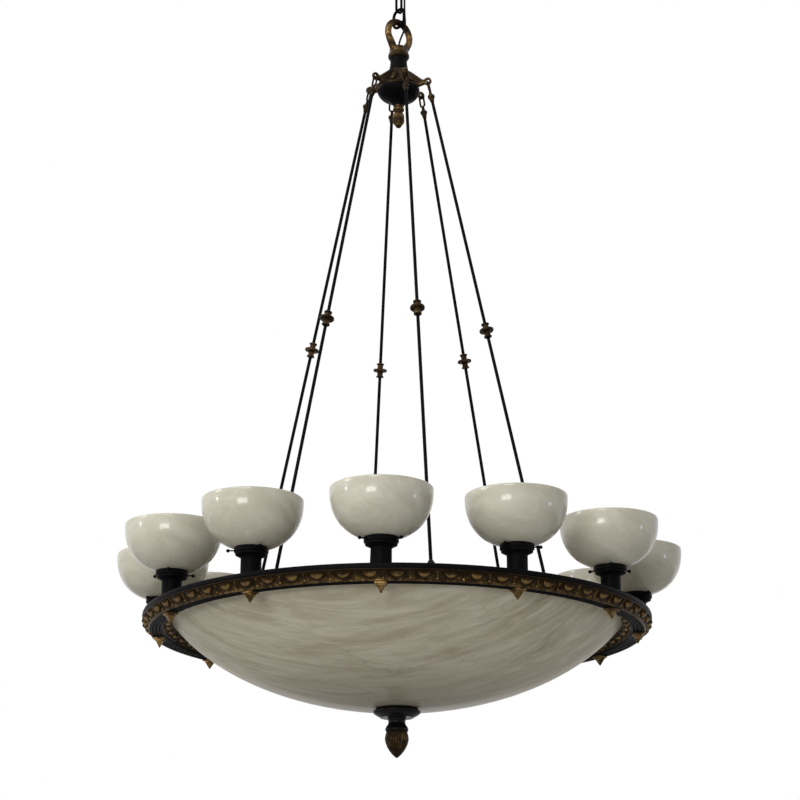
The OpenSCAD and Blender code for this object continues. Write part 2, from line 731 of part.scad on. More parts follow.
module ring_channel() {
    web_top = -rail_plate_t;
    web_low = web_top - channel_wall;
    color(steel) difference() {
        at_ring() turned([[channel_in, band_z], [channel_in + channel_wall, band_z],
            [channel_in + channel_wall, web_low], [channel_out - channel_wall, web_low],
            [channel_out - channel_wall, band_z], [channel_out, band_z], [channel_out, web_top],
            [channel_in, web_top]]);
        at_lamps() translate([0, 0, web_low - 1]) cylinder(h = channel_wall + 2, d = nipple_d + 2 * fit);
        spider_bolt_holes(web_low - 1, channel_wall + 2);
    }
}

module ring_outer_band() {
    color(bronze) at_ring() turned([[channel_out, soffit_z], [band_out_foot, soffit_z],
        [band_out_foot + 1.5, soffit_z + 2], [band_out_foot + 1, soffit_z + 4],
        [band_out_top - 2.5, -rail_h - 4], [band_out_top, -rail_h - 2], [band_out_top, -rail_h],
        [ring_r - rail_lip_w, -rail_h], [channel_out, band_z + 7]]);
}

module ring_inner_band() {
    color(bronze) at_ring() turned([[channel_in, band_z], [channel_in, band_z + 6],
        [ledge_r + 10, ledge_z - ledge_t], [channel_in, ledge_z - ledge_t], [channel_in, ledge_z],
        [ledge_r, ledge_z], [ledge_r, ledge_z - ledge_t], [ledge_r + 3, ledge_z - ledge_t - 2.5],
        [band_in_foot - 1, band_z + 4], [band_in_foot - 1.5, band_z + 2], [band_in_foot, band_z]]);
}

module ring_soffit() {
    r0 = band_in_foot;
    r1 = channel_out;
    pitch = (r1 - r0) / reeds;
    n = 6;
    root_t = soffit_t * 0.35;
    crests = [for (k = [reeds - 1 : -1 : 0], i = [0 : n]) let (t = 180 * i / n)
        [r0 + pitch * (k + 0.5 + 0.5 * cos(t)), band_z - root_t - (soffit_t - root_t) * sin(t)]];
    color(black) difference() {
        at_ring() turned(concat([[r0, band_z], [r1, band_z]], crests));
        at_lamps() translate([0, 0, soffit_z - 1]) cylinder(h = soffit_t + 2, d = nipple_d + 2 * fit);
    }
}

module ring_loom() {
    loom_r = (lamp_r + nipple_d / 2 + channel_out - channel_wall) / 2;
    color(rubber) at_ring() rotate_extrude()
        translate([loom_r, band_z + loom_d / 2]) circle(d = loom_d, $fn = 24);
}

module spider_boss() {
    color(black) at_ring() translate([0, 0, arm_z]) difference() {
        cylinder(h = boss_h, d = boss_d);
        translate([0, 0, -1]) cylinder(h = boss_h + 2, d = centre_d + 2 * fit);
    }
}

// Six arms, each welded to the boss and with its foot plate and rod socket
module spider_arms() {
    arm_start = boss_d / 2 - 8;
    arm_end = ring_bore_r + 2;
    end_h = 4;
    taper_start = 0.87 * ring_bore_r;
    socket_r_out = rod_d / 2 + socket_wall;
    color(black) difference() {
        union() {
            at_ring() at_rods() {
                translate([0, arm_w / 2, 0]) rotate([90, 0, 0]) linear_extrude(arm_w)
                    polygon([[arm_start, arm_z], [arm_end, arm_z], [arm_end, foot_plate_t + end_h - 3],
                        [taper_start, arm_z + arm_h], [arm_start, arm_z + arm_h]]);
                translate([foot_plate_start, -foot_plate_w / 2, 0])
                    cube([foot_plate_end - foot_plate_start, foot_plate_w, foot_plate_t]);
            }
            at_rod_axes() translate([0, 0, -rod_len - (foot_rise - arm_z - arm_h / 2) / cos(rod_tilt)])
                cylinder(h = (foot_rise - arm_z - arm_h / 2) / cos(rod_tilt), r = socket_r_out);
        }
        at_rod_axes() translate([0, 0, -rod_len - rod_in_socket - fit])
            cylinder(h = rod_in_socket + 2, d = rod_d + 2 * fit);
        at_ring() translate([0, 0, arm_z - 1]) cylinder(h = boss_h + 2, d = boss_d);
        spider_bolt_holes(-1, foot_plate_t + 2);
    }
}

module spider_bolts() {
    web_low = -rail_plate_t - channel_wall;
    color(steel) at_ring() at_rods() for (s = [-1, 1]) translate([bolt_r, s * bolt_spread, 0]) {
        translate([0, 0, foot_plate_t]) cylinder(h = head_t, d = 13 / cos(30), $fn = 6);
        translate([0, 0, web_low - nut_t]) cylinder(h = foot_plate_t - web_low + nut_t, d = bolt_d);
        translate([0, 0, web_low - nut_t]) cylinder(h = nut_t, d = 13 / cos(30), $fn = 6);
    }
}

module lamp_nipples() {
    low = soffit_z - drop_bore + 1;
    color(steel) at_lamps() {
        translate([0, 0, low]) cylinder(h = nipple_top_z - low, d = nipple_d);
        translate([0, 0, 4]) cylinder(h = nipple_top_z - 4, d = 22 / cos(30), $fn = 6);
    }
}

module drop_finials() {
    neck_w = drop_w * 0.7;
    spire_w = drop_w * 0.62;
    spire_h = drop_h - drop_plate_t - drop_neck_t;
    color(bronze) at_lamps() translate([0, 0, soffit_z]) difference() {
        union() {
            translate([-drop_w / 2, -drop_w / 2, -drop_plate_t]) cube([drop_w, drop_w, drop_plate_t]);
            translate([-neck_w / 2, -neck_w / 2, -drop_plate_t - drop_neck_t])
                cube([neck_w, neck_w, drop_neck_t + 1]);
            translate([0, 0, -drop_plate_t - drop_neck_t]) intersection_for(a = [0, 90])
                rotate([90, 0, a]) linear_extrude(spire_w, center = true)
                    polygon([[-spire_w / 2, 0], [spire_w / 2, 0], [1.6, -spire_h + 1], [0.8, -spire_h],
                        [-0.8, -spire_h], [-1.6, -spire_h + 1]]);
        }
        translate([0, 0, -drop_bore]) cylinder(h = drop_bore + 1, d = nipple_d + 2 * fit);
    }
}

// Puts a child on each thumbscrew of a lamp, with +Z pointing outwards from the shade's neck
module at_thumbs() {
    for (a = [60 : 120 : 300]) rotate([0, 0, a])
        translate([neck_r + fit, 0, gallery_rise + thumb_rise]) rotate([0, 90, 0]) children();
}

module shade_fitters() {
    floor_z = gallery_rise;
    inner = stem_r - stem_wall;
    color(black) at_lamps() difference() {
        turned([[nipple_d / 2 + fit, 0], [stem_r, 0], [stem_r, floor_z - 18],
            [stem_r + 2.5, floor_z - 14], [stem_r + 9, floor_z - 11], [gallery_r - 3.5, floor_z - 8],
            [gallery_r - 3.5, floor_z - 3.5], [gallery_r - 2.5, floor_z - 2], [gallery_r, floor_z - 0.5],
            [gallery_r, floor_z + gallery_h], [gallery_r - gallery_wall, floor_z + gallery_h],
            [gallery_r - gallery_wall, floor_z], [inner, floor_z], [inner, 4], [nipple_d / 2 + fit, 4]]);
        at_thumbs() cylinder(h = gallery_r, d = thumb_d + 2 * fit);
    }
}

module shade_thumbscrews() {
    shank = thumb_reach - neck_r - fit;
    color(black) at_lamps() at_thumbs() {
        cylinder(h = shank, d = thumb_d, $fn = 24);
        translate([0, 0, shank]) sphere(d = thumb_ball_d, $fn = 24);
    }
}

// A porcelain lamp holder standing on z = 0
module lamp_socket() {
    difference() {
        turned([[0, 0], [socket_r - 3, 0], [socket_r - 3, 12], [socket_r, 16], [socket_r, socket_h - 3],
            [socket_r - 2, socket_h], [0, socket_h]]);
        translate([0, 0, socket_h - bulb_base_h - 1])
            cylinder(h = bulb_base_h + 2, r = socket_bore_r);
    }
}

// A bulb whose screw base ends at z = 0
module lamp_bulb() {
    globe = bulb_l - bulb_r;
    turned(concat([[0, -bulb_base_h], [bulb_base_r, -bulb_base_h], [bulb_base_r, 6],
        [bulb_base_r + 2, 14], [bulb_base_r + 8, 32]],
        arc_pts([0, globe], bulb_r, -30, 84, 12), [[0, bulb_l]]));
}

// Puts a child in each cluster position, with +Z pointing outwards from the centre tube
module at_cluster() {
    for (i = [0 : cluster_lamps - 1]) rotate([0, 0, i * 360 / cluster_lamps])
        translate([cluster_r, 0, ring_z - cluster_drop]) rotate([0, 90, 0]) children();
}

module lamp_sockets() {
    color(porcelain) {
        at_lamps() translate([0, 0, nipple_top_z]) lamp_socket();
        at_cluster() lamp_socket();
    }
}

module lamp_bulbs() {
    color("white") {
        at_lamps() translate([0, 0, nipple_top_z + socket_h]) lamp_bulb();
        at_cluster() translate([0, 0, socket_h]) lamp_bulb();
    }
}

module shade(i) {
    lip_r = shade_wall / 2;
    steps = 22;
    in_r = shade_r - shade_wall;
    in_low = shade_low_z + shade_wall;
    k_out = pow(1 - pow(neck_r / shade_r, shade_full), 1 / shade_full);
    k_in = pow(1 - pow(shade_hole_r / in_r, shade_full), 1 / shade_full);
    z_out = lip_z - (lip_z - shade_low_z) * k_out;
    z_in = lip_z - (lip_z - in_low) * k_in;
    outer = [for (j = [0 : steps]) let (t = pow(j / steps, 1.6), z = z_out + (lip_z - z_out) * t)
        [shade_r_at(z, shade_r, shade_low_z), z]];
    inner = [for (j = [steps : -1 : 0]) let (t = pow(j / steps, 1.6), z = z_in + (lip_z - z_in) * t)
        [shade_r_at(z, in_r, in_low), z]];
    lip = arc_pts([shade_r - lip_r, lip_z], lip_r, 22.5, 157.5, 6);
    color(alabaster) at_lamp(i)
        turned(concat([[shade_hole_r, shade_seat_z], [neck_r, shade_seat_z]], outer, lip, inner));
}

module shade_1() { shade(1); }
module shade_2() { shade(2); }
module shade_3() { shade(3); }
module shade_4() { shade(4); }
module shade_5() { shade(5); }
module shade_6() { shade(6); }
module shade_7() { shade(7); }
module shade_8() { shade(8); }
module shade_9() { shade(9); }
module shade_10() { shade(10); }
module shade_11() { shade(11); }
module shade_12() { shade(12); }

module centre_tube() {
    color(steel) at_ring() translate([0, 0, centre_bot_z]) difference() {
        cylinder(h = centre_top_z - centre_bot_z, d = centre_d);
        translate([0, 0, -1]) cylinder(h = centre_top_z - centre_bot_z + 2, d = centre_d - 2 * centre_wall);
    }
}

module centre_nuts() {
    nut_bore = centre_d + 2 * fit;
    color(steel) at_ring() {
        for (z = [arm_z + boss_h, arm_z - centre_nut_h, inner_pad_z + pad_t,
            -cluster_drop - cluster_h / 2 - centre_nut_h])
            translate([0, 0, z]) hex_nut(centre_nut_w, centre_nut_h, nut_bore);
    }
}

module lamp_cluster() {
    color(steel) at_ring() translate([0, 0, -cluster_drop - cluster_h / 2]) difference() {
        rotate([0, 0, 30]) cylinder(h = cluster_h, r = cluster_r / cos(30), $fn = 6);
        translate([0, 0, -1]) cylinder(h = cluster_h + 2, d = centre_d + 2 * fit);
    }
}

module bowl() {
    steps = 30;
    rim_z = bowl_seat_z + bowl_rim_h;
    r_seat = bowl_r_at(bowl_seat_z, 0);
    r_top = bowl_r_at(rim_z, bowl_wall);
    outer = [for (i = [0 : steps]) let (r = bowl_hole_r + (r_seat - bowl_hole_r) * sin(90 * i / steps))
        [r, bowl_z_at(r, 0)]];
    inner = [for (i = [steps : -1 : 0]) let (r = bowl_hole_r + (r_top - bowl_hole_r) * sin(90 * i / steps))
        [r, bowl_z_at(r, bowl_wall)]];
    color(alabaster) at_ring() turned(concat(outer, [[bowl_rim_r, bowl_seat_z], [bowl_rim_r, rim_z - 3],
        [bowl_rim_r - 3, rim_z]], inner));
}

module bowl_felt() {
    color([0.2, 0.22, 0.2]) at_ring() turned([[felt_in, ledge_z], [bowl_rim_r - 1, ledge_z],
        [bowl_rim_r - 1, bowl_seat_z], [felt_in, bowl_seat_z]]);
}

module bowl_washers() {
    bore = centre_d / 2 + fit;
    color(rubber) at_ring() {
        turned([[bore, inner_pad_z], [washer_r, inner_pad_z], [washer_r, inner_pad_z + pad_t],
            [bore, inner_pad_z + pad_t]]);
        turned([[bore, bowl_bottom_z - pad_t], [pad_r, bowl_bottom_z - pad_t],
            [pad_r, bowl_bottom_z], [bore, bowl_bottom_z]]);
    }
}

module bottom_collar() {
    r = collar_d / 2;
    h = collar_h;
    recess_r = pad_r + 2;
    recess = collar_top_z - bowl_bottom_z + pad_t;
    bore = centre_d / 2 + fit;
    color(black) at_ring() translate([0, 0, collar_top_z]) turned([[bore, -recess],
        [recess_r, -recess], [recess_r, -2],
        [r - 10, 0], [r - 8.5, -0.8], [r - 7, -4], [r - 2.5, -7.5], [r, -9.5], [r, -12],
        [r - 3, -16], [r - 9, -h + 8], [r - 16, -h + 4], [r - 20, -h + 3], [r - 22.5, -h], [bore, -h]]);
}

module bottom_neck() {
    h = finial_neck_h;
    r = acorn_d / 2;
    bore = centre_d / 2 + fit;
    color(black) at_ring() translate([0, 0, collar_bot_z]) turned([[bore, 0], [r - 6, 0],
        [r - 7.5, -2], [r - 8, -5], [r - 10, -8], [r - 10, -h + 24], [r - 8, -h + 19],
        [r - 4, -h + 14], [r - 1, -h + 8], [r - 1, -h + 4], [r - 3, -h], [0, -h],
        [0, -h + 12 - fit], [bore, -h + 12 - fit]]);
}

module bottom_acorn() {
    r = acorn_d / 2;
    h = acorn_h;
    shoulder = [for (i = [0 : 12]) let (t = i / 12, a = 25 - 25 * t)
        [r * cos(a) - r * 0.05 * (1 - t), -h * 0.28 * t]];
    belly = [for (i = [1 : 14]) let (t = i / 14)
        [r * pow(cos(90 * t), 0.85) * (1 - 0.06 * sin(180 * t)), -h * (0.28 + 0.72 * pow(t, 0.9))]];
    color(bronze) at_ring() translate([0, 0, neck_bot_z])
        turned(concat([[0, 0], [r - 3.5, 0]], shoulder, belly));
}

ceiling_plate();
ceiling_eye_bolt();
ceiling_canopy();
canopy_nut();
cord_bush();
terminal_block();
chain_link_upper();
chain_link_lower();
power_cord_top();
power_cord_middle();
power_cord_bottom();
suspension_loop();
hub_neck();
hub_crown();
hub_bell();
hub_finial();
hub_tie_rod();
rod_eyes();
upper_rods();
rod_knops();
lower_rods();
rod_foot_cones();
ring_top_rail();
ring_channel();
ring_outer_band();
ring_inner_band();
ring_soffit();
ring_loom();
spider_boss();
spider_arms();
spider_bolts();
lamp_nipples();
drop_finials();
shade_fitters();
shade_thumbscrews();
lamp_sockets();
lamp_bulbs();
shade_1();
shade_2();
shade_3();
shade_4();
shade_5();
shade_6();
shade_7();
shade_8();
shade_9();
shade_10();
shade_11();
shade_12();
centre_tube();
centre_nuts();
lamp_cluster();
bowl();
bowl_felt();
bowl_washers();
bottom_collar();
bottom_neck();
bottom_acorn();
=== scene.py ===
from math import atan2, cos, pi, radians, sin

import bmesh
import bpy
from mathutils import Matrix, Vector


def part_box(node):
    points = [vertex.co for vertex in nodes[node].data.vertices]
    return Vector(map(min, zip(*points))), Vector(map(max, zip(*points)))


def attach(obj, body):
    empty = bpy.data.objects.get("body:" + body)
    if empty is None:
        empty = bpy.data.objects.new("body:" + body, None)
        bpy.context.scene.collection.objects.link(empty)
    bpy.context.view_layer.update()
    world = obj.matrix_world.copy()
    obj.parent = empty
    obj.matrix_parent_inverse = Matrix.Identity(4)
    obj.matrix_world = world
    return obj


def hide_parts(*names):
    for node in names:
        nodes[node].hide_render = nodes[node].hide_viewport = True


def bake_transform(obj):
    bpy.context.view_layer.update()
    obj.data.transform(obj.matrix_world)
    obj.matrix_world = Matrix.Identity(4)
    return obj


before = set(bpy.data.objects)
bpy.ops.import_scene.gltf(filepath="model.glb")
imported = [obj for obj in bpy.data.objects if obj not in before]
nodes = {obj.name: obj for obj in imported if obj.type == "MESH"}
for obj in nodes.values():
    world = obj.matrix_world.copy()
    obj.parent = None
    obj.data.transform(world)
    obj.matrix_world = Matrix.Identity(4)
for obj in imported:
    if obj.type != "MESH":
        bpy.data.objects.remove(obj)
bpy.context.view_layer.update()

scene = bpy.context.scene

# Camera: it stands about 5.4 m from the chandelier's axis, below the ring, and looks up
# at it with a long lens. The chandelier is turned so that two cups face it.
viewer_turn = Matrix.Rotation(radians(-11.6), 4, "Z")
viewer_away, viewer_drop = 5.4308, 3.3749
looks_up, looks_left, leans = 0.3246, -0.0013, 0.0024
camera_data = bpy.data.cameras.new("camera")
camera_data.sensor_width = 36.0
camera_data.lens = 82.155
camera_data.clip_end = 100.0
camera = bpy.data.objects.new("camera", camera_data)
scene.collection.objects.link(camera)
camera.matrix_world = (
    Matrix.Translation(viewer_turn @ Vector((0.0, -viewer_away, -viewer_drop)))
    @ viewer_turn
    @ Matrix.Rotation(looks_left, 4, "Z")
    @ Matrix.Rotation(pi / 2 + looks_up, 4, "X")
    @ Matrix.Rotation(leans, 4, "Z"))
scene.camera = camera

# Ceiling fitting: a zinc-plated steel plate with a threaded boss, an eye bolt, and a spun
# canopy, both in black enamel rubbed thin in places. The bronze nut that holds the canopy up
# comes with the suspension loop, whose patina it shares.


class Tone:
    """A number or colour at one socket of a material, so that shader maths reads as maths."""

    def __init__(self, tree, socket=None):
        self.tree = tree
        self.socket = socket

    def node(self, kind, settings, sockets, out=0):
        """Any node: its settings first, then the values or links of its sockets."""
        made = self.tree.nodes.new(kind)
        for name, value in settings.items():
            setattr(made, name, value)
        for name, value in sockets.items():
            if isinstance(value, Tone):
                self.tree.links.new(value.socket, made.inputs[name])
            else:
                made.inputs[name].default_value = value
        return Tone(self.tree, made.outputs[out])

    def maths(self, operation, a, b=0.0):
        return self.node("ShaderNodeMath", {"operation": operation}, {0: a, 1: b})

    def __add__(self, other):
        return self.maths("ADD", self, other)

    def __radd__(self, other):
        return self.maths("ADD", other, self)

    def __sub__(self, other):
        return self.maths("SUBTRACT", self, other)

    def __rsub__(self, other):
        return self.maths("SUBTRACT", other, self)

    def __mul__(self, other):
        return self.maths("MULTIPLY", self, other)

    def __rmul__(self, other):
        return self.maths("MULTIPLY", other, self)

    def ramp(self, low, high):
        """0 at low and 1 at high, with a soft rise between them."""
        return self.node("ShaderNodeMapRange", {"interpolation_type": "SMOOTHSTEP"},
                         {"Value": self, "From Min": low, "From Max": high})

    def mix(self, first, second):
        """The colour first where this is 0, and second where it is 1."""
        return self.node("ShaderNodeMix", {"data_type": "RGBA"},
                         {0: self, 6: first, 7: second}, 2)

    def place(self, size=(1, 1, 1), turn=(0, 0, 0)):
        """Where a point lies on the object, turned and then stretched for a pattern."""
        where = self.node("ShaderNodeTexCoord", {}, {}, "Object")
        turned = self.node("ShaderNodeMapping", {}, {"Vector": where, "Rotation": turn})
        return self.node("ShaderNodeMapping", {}, {"Vector": turned, "Scale": size})

    def cloud(self, where, scale, detail=4.0, rough=0.55, bend=0.0):
        return self.node("ShaderNodeTexNoise", {}, {
            "Vector": where, "Scale": scale, "Detail": detail, "Roughness": rough,
            "Distortion": bend})

    def bump(self, height, strength, distance):
        return self.node("ShaderNodeBump", {}, {
            "Height": height, "Strength": strength, "Distance": distance})


def finish(name, fixed, vary):
    """A material: fixed holds plain socket values, and vary(tone) the sockets that change."""
    material = bpy.data.materials.new(name)
    material.use_nodes = True
    shader = material.node_tree.nodes["Principled BSDF"]
    for socket, value in fixed.items():
        shader.inputs[socket].default_value = value
    for socket, tone in vary(Tone(material.node_tree)).items():
        material.node_tree.links.new(tone.socket, shader.inputs[socket])
    return material


def enamel_look(tone):
    where = tone.place()
    soft = tone.cloud(where, 22.0)
    fine = tone.cloud(where, 420.0, 3.0)
    rubbed = tone.cloud(where, 55.0, 6.0, 0.7).ramp(0.64, 0.86)
    black = soft.mix((0.0016, 0.0016, 0.0019, 1), (0.0046, 0.0045, 0.0054, 1))
    worn_brown = (0.016, 0.011, 0.007, 1)
    return {
        "Base Color": (rubbed * 0.30).mix(black, worn_brown),
        "Roughness": 0.36 + soft * 0.16 + rubbed * 0.10,
        "Normal": tone.bump(fine, 0.05, 0.0003),
    }


enamel = finish("black_enamel", {"Metallic": 0.0, "Specular IOR Level": 0.025}, enamel_look)


def steel_look(tone):
    grain = tone.cloud(tone.place((1, 1, 18)), 60.0, 5.0)
    stain = tone.cloud(tone.place(), 30.0)
    return {
        "Base Color": grain.mix((0.30, 0.30, 0.31, 1), (0.46, 0.46, 0.47, 1)),
        "Roughness": 0.30 + stain * 0.25,
        "Normal": tone.bump(grain, 0.10, 0.0003),
    }


steel = finish("zinc_steel", {"Metallic": 1.0}, steel_look)


def settle(name, bm, look, body="chandelier", sharp=34):
    """A finished piece from a mesh that lies in place, smooth but for edges over sharp degrees.

    It rides on body, unless that is None, when it rides on no body.
    """
    for face in bm.faces:
        face.smooth = True
    for edge in bm.edges:
        edge.smooth = edge.is_manifold and edge.calc_face_angle(0.0) < radians(sharp)
    mesh = bpy.data.meshes.new(name)
    bm.to_mesh(mesh)
    bm.free()
    mesh.materials.append(look)
    piece = bpy.data.objects.new(name, mesh)
    scene.collection.objects.link(piece)
    if body:
        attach(piece, body)
    return piece


def dress(node, look, body="chandelier", sharp=34):
    """A node's own solid with its triangles joined, so its round faces shade as one surface."""
    bm = bmesh.new()
    bm.from_mesh(nodes[node].data)
    bmesh.ops.remove_doubles(bm, verts=bm.verts, dist=1e-6)
    piece = settle(node + "_surface", bm, look, body, sharp)
    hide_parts(node)
    return piece


dress("ceiling_plate", steel, "ceiling_fitting")
dress("ceiling_eye_bolt", enamel, "ceiling_fitting")
dress("ceiling_canopy", enamel, "ceiling_fitting")

# Cord bush and terminal block: a turned rubber bush in the canopy's floor, and the white
# porcelain block above it, fixed under the plate, where the cord begins.


def rubber_look(tone):
    skin = tone.cloud(tone.place(), 260.0, 3.0)
    return {
        "Base Color": skin.mix((0.004, 0.004, 0.005, 1), (0.010, 0.010, 0.011, 1)),
        "Roughness": 0.52 + skin * 0.20,
        "Normal": tone.bump(skin, 0.10, 0.0003),
    }


rubber = finish("cord_rubber", {"Specular IOR Level": 0.15}, rubber_look)


def porcelain_look(tone):
    cloud = tone.cloud(tone.place(), 40.0)
    return {
        "Base Color": cloud.mix((0.80, 0.79, 0.75, 1), (0.70, 0.69, 0.64, 1)),
        "Roughness": 0.14 + cloud * 0.10,
    }


porcelain = finish("white_porcelain", {"Coat Weight": 0.5, "Coat Roughness": 0.08},
                   porcelain_look)
dress("cord_bush", rubber, "ceiling_fitting")
dress("terminal_block", porcelain, "ceiling_fitting")

# Chain: two forged links in the same black enamel, the upper one seen on its edge and the
# lower one on its flat. Each hangs from the piece above it and swings on that piece's bar.
dress("chain_link_upper", enamel, "upper_link")
dress("chain_link_lower", enamel, "lower_link")

# Power cord: 6.5 mm black rubber cable from the terminal block, through the canopy's bush,
# down beside the chain, through the loop and into the hole in its base. It is made in three
# lengths that meet at the three hinges, with its route in millimetres.
cord_thick = 0.0065
cord_turn = Matrix.Rotation(radians(30), 4, "Z")
cord_stretches = (
    ("power_cord_top", "ceiling_fitting", "upper_link", -0.080, -0.132,
     ((24, -18, -27), (24, -18, -40), (24, -18, -57), (21.5, -16.2, -70), (18.5, -14, -84),
      (16, -12.5, -100), (15, -12, -116), (15, -12, -134))),
    ("power_cord_middle", "upper_link", "lower_link", -0.139, -0.187,
     ((15, -12, -134), (15, -12, -152), (15, -13, -172), (15, -14.5, -190))),
    ("power_cord_bottom", "lower_link", "chandelier", -0.194, -0.256,
     ((15, -14.5, -190), (15, -15.25, -199), (15, -15.6, -208), (15, -14.6, -219),
      (14, -12.4, -230), (11.5, -9, -243), (8, -5.5, -256), (4, -2.5, -271), (1, -0.8, -286),
      (0, 0, -298), (0, 0, -314), (0, 0, -332))),
)
for name, upper, lower, bend_from, bend_to, route in cord_stretches:
    curve = bpy.data.curves.new(name + "_run", "CURVE")
    curve.dimensions = "3D"
    curve.bevel_depth = cord_thick / 2
    curve.bevel_resolution = 5
    curve.resolution_u = 8
    curve.use_fill_caps = True
    run = curve.splines.new("BEZIER")
    run.bezier_points.add(len(route) - 1)
    for knot, point in zip(run.bezier_points, route):
        knot.co = cord_turn @ (Vector(point) / 1000)
        knot.handle_left_type = knot.handle_right_type = "AUTO"
    drawn = bpy.data.objects.new(name + "_run", curve)
    scene.collection.objects.link(drawn)
    bm = bmesh.new()
    bm.from_mesh(bpy.data.meshes.new_from_object(drawn))
    bpy.data.objects.remove(drawn)
    bmesh.ops.remove_doubles(bm, verts=bm.verts, dist=1e-6)
    bmesh.ops.recalc_face_normals(bm, faces=bm.faces)
    piece = settle(name + "_cable", bm, rubber, None, 50)
    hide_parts(name)
    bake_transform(piece)

# Suspension loop: one bronze casting, a heavy ring on a round base. The patina is dark in the
# hollows and worn to gold on the ring's flanks, where hands and the chain have rubbed it; that
# gold is partly a painted highlight.


def bronze_look(tone):
    where = tone.place()
    blotch = tone.cloud(where, 26.0, 6.0, 0.65)
    patches = tone.cloud(where, 75.0, 4.0, 0.60).ramp(0.38, 0.62)
    grit = tone.cloud(where, 300.0, 4.0)
    # wear, and on the eggs, loop flanks and crown arm ends partly a painted highlight
    wear_and_highlight = tone.node("ShaderNodeAttribute", {"attribute_name": "rubbed"}, {}, "Fac")
    gold = (wear_and_highlight * (0.75 + patches * 0.85) + blotch * 0.9).ramp(0.60, 1.45)
    patina = blotch.mix((0.009, 0.005, 0.0022, 1), (0.034, 0.021, 0.010, 1))
    bare_gold = (0.240, 0.150, 0.056, 1)
    return {
        "Base Color": gold.mix(patina, bare_gold),
        "Metallic": 0.45 + gold * 0.50,
        "Roughness": 0.43 - gold * 0.13 + grit * 0.08,
        "Normal": tone.bump(grit, 0.16, 0.0004),
    }


bronze = finish("antique_bronze", {"Specular IOR Level": 0.06}, bronze_look)


def rub(piece, amount):
    """Writes how gold each point is, 0 for dark and 1 for gold: wear, and on some pieces painted
    highlight.
    """
    layer = piece.data.attributes.new("rubbed", "FLOAT", "POINT")
    for spot, vertex in zip(layer.data, piece.data.vertices):
        spot.value = min(max(amount(vertex.co), 0.0), 1.0)


loop_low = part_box("suspension_loop")[0].z
loop_along = Vector((cos(radians(30)), sin(radians(30)), 0))
loop_reach, loop_foot, loop_middle, loop_half = 0.034, 0.043, 0.086, 0.046
base_band = (0.019, 0.034)


def loop_wear_and_highlight(co):
    """Gold on the ring's two flanks, partly a painted highlight, and on its base's band; dark
    elsewhere.
    """
    rise = co.z - loop_low
    if rise > loop_foot:
        flank = min(1.0, abs(co.dot(loop_along)) / loop_reach)
        # wear and painted highlight: gold peaks halfway up each flank
        return 0.50 * flank * max(0.0, 1.0 - ((rise - loop_middle) / loop_half) ** 2)
    return 0.34 if base_band[0] < rise < base_band[1] else 0.16


rub(dress("suspension_loop", bronze), loop_wear_and_highlight)
dress("canopy_nut", bronze, "ceiling_fitting")

# Hub: a black turned neck, a bronze crown with six arms that end in eyes, a black bell below
# it and a bronze finial, all clamped on one hollow steel tie rod. The crown's arm ends and the
# finial's rings are worn most, and the gold on the arm ends is partly a painted highlight.
arm_ends = 0.076
dress("hub_neck", enamel)
# wear and painted highlight: the arm ends get more gold
rub(dress("hub_crown", bronze),
    lambda co: 0.30 if Vector((co.x, co.y)).length > arm_ends else 0.12)
crown_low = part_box("hub_crown")[0].z

# Leaf work: cast in one with the crown. A leaf of four overlapping pointed lobes lies down
# each arm, and one of three broader lobes lies on the cone between two arms.
lobe_long, lobe_thick, lobe_lift = 0.92, 0.0034, 0.15


def repeat_round(bm, count):
    """Copies all that the mesh holds round the chandelier's axis, count times in all."""
    unit = list(bm.verts) + list(bm.edges) + list(bm.faces)
    for k in range(1, count):
        more = bmesh.ops.duplicate(bm, geom=unit)["geom"]
        bmesh.ops.rotate(bm, verts=[g for g in more if isinstance(g, bmesh.types.BMVert)],
                         cent=(0, 0, 0), matrix=Matrix.Rotation(k * 2 * pi / count, 3, "Z"))


def leaves(name, ridge, across, first):
    """Six leaves, the first one first degrees round. ridge holds (radius, rise) down a leaf."""
    bm = bmesh.new()
    wear = bm.verts.layers.float.new("rubbed")
    for (r0, rise0), (r1, rise1) in zip(ridge, ridge[1:]):
        z0, z1 = crown_low + rise0, crown_low + rise1
        long = ((r1 - r0) ** 2 + (z1 - z0) ** 2) ** 0.5
        lobe = bmesh.ops.create_uvsphere(bm, u_segments=14, v_segments=8, radius=1.0)["verts"]
        for v in lobe:
            tip = max(0.0, v.co.x)
            v[wear] = 0.05 + 0.40 * tip ** 2
            v.co.y *= 1.0 - 0.6 * tip
        bmesh.ops.transform(
            bm, verts=lobe,
            matrix=Matrix.Translation(((r0 + r1) / 2, 0, (z0 + z1) / 2))
            @ Matrix.Rotation(atan2(z0 - z1, r1 - r0) - lobe_lift, 4, "Y")
            @ Matrix.Diagonal((long * lobe_long, across, lobe_thick, 1)))
    bmesh.ops.rotate(bm, verts=bm.verts, cent=(0, 0, 0),
                     matrix=Matrix.Rotation(radians(first), 3, "Z"))
    repeat_round(bm, 6)
    settle(name, bm, bronze, sharp=60)


leaves("hub_arm_leaves",
       ((0.036, 0.064), (0.046, 0.056), (0.056, 0.047), (0.067, 0.037), (0.078, 0.0275)),
       0.0100, 30)
leaves("hub_cone_leaves",
       ((0.040, 0.050), (0.047, 0.039), (0.055, 0.027), (0.064, 0.016)), 0.0125, 0)

# Bell, finial and tie rod: the bell is black, the finial is a turned bronze drop whose wear
# rises and falls with its rings, and the rod through them all is steel and keeps its own mesh.


def paint(node, look):
    """Gives a hidden node that stays as it is its finish."""
    nodes[node].data.materials.clear()
    nodes[node].data.materials.append(look)


finial_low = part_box("hub_finial")[0].z
rings_per_metre = 110.0
dress("hub_bell", enamel)
rub(dress("hub_finial", bronze),
    lambda co: 0.06 + 0.34 * abs(sin((co.z - finial_low) * rings_per_metre)))
paint("hub_tie_rod", steel)

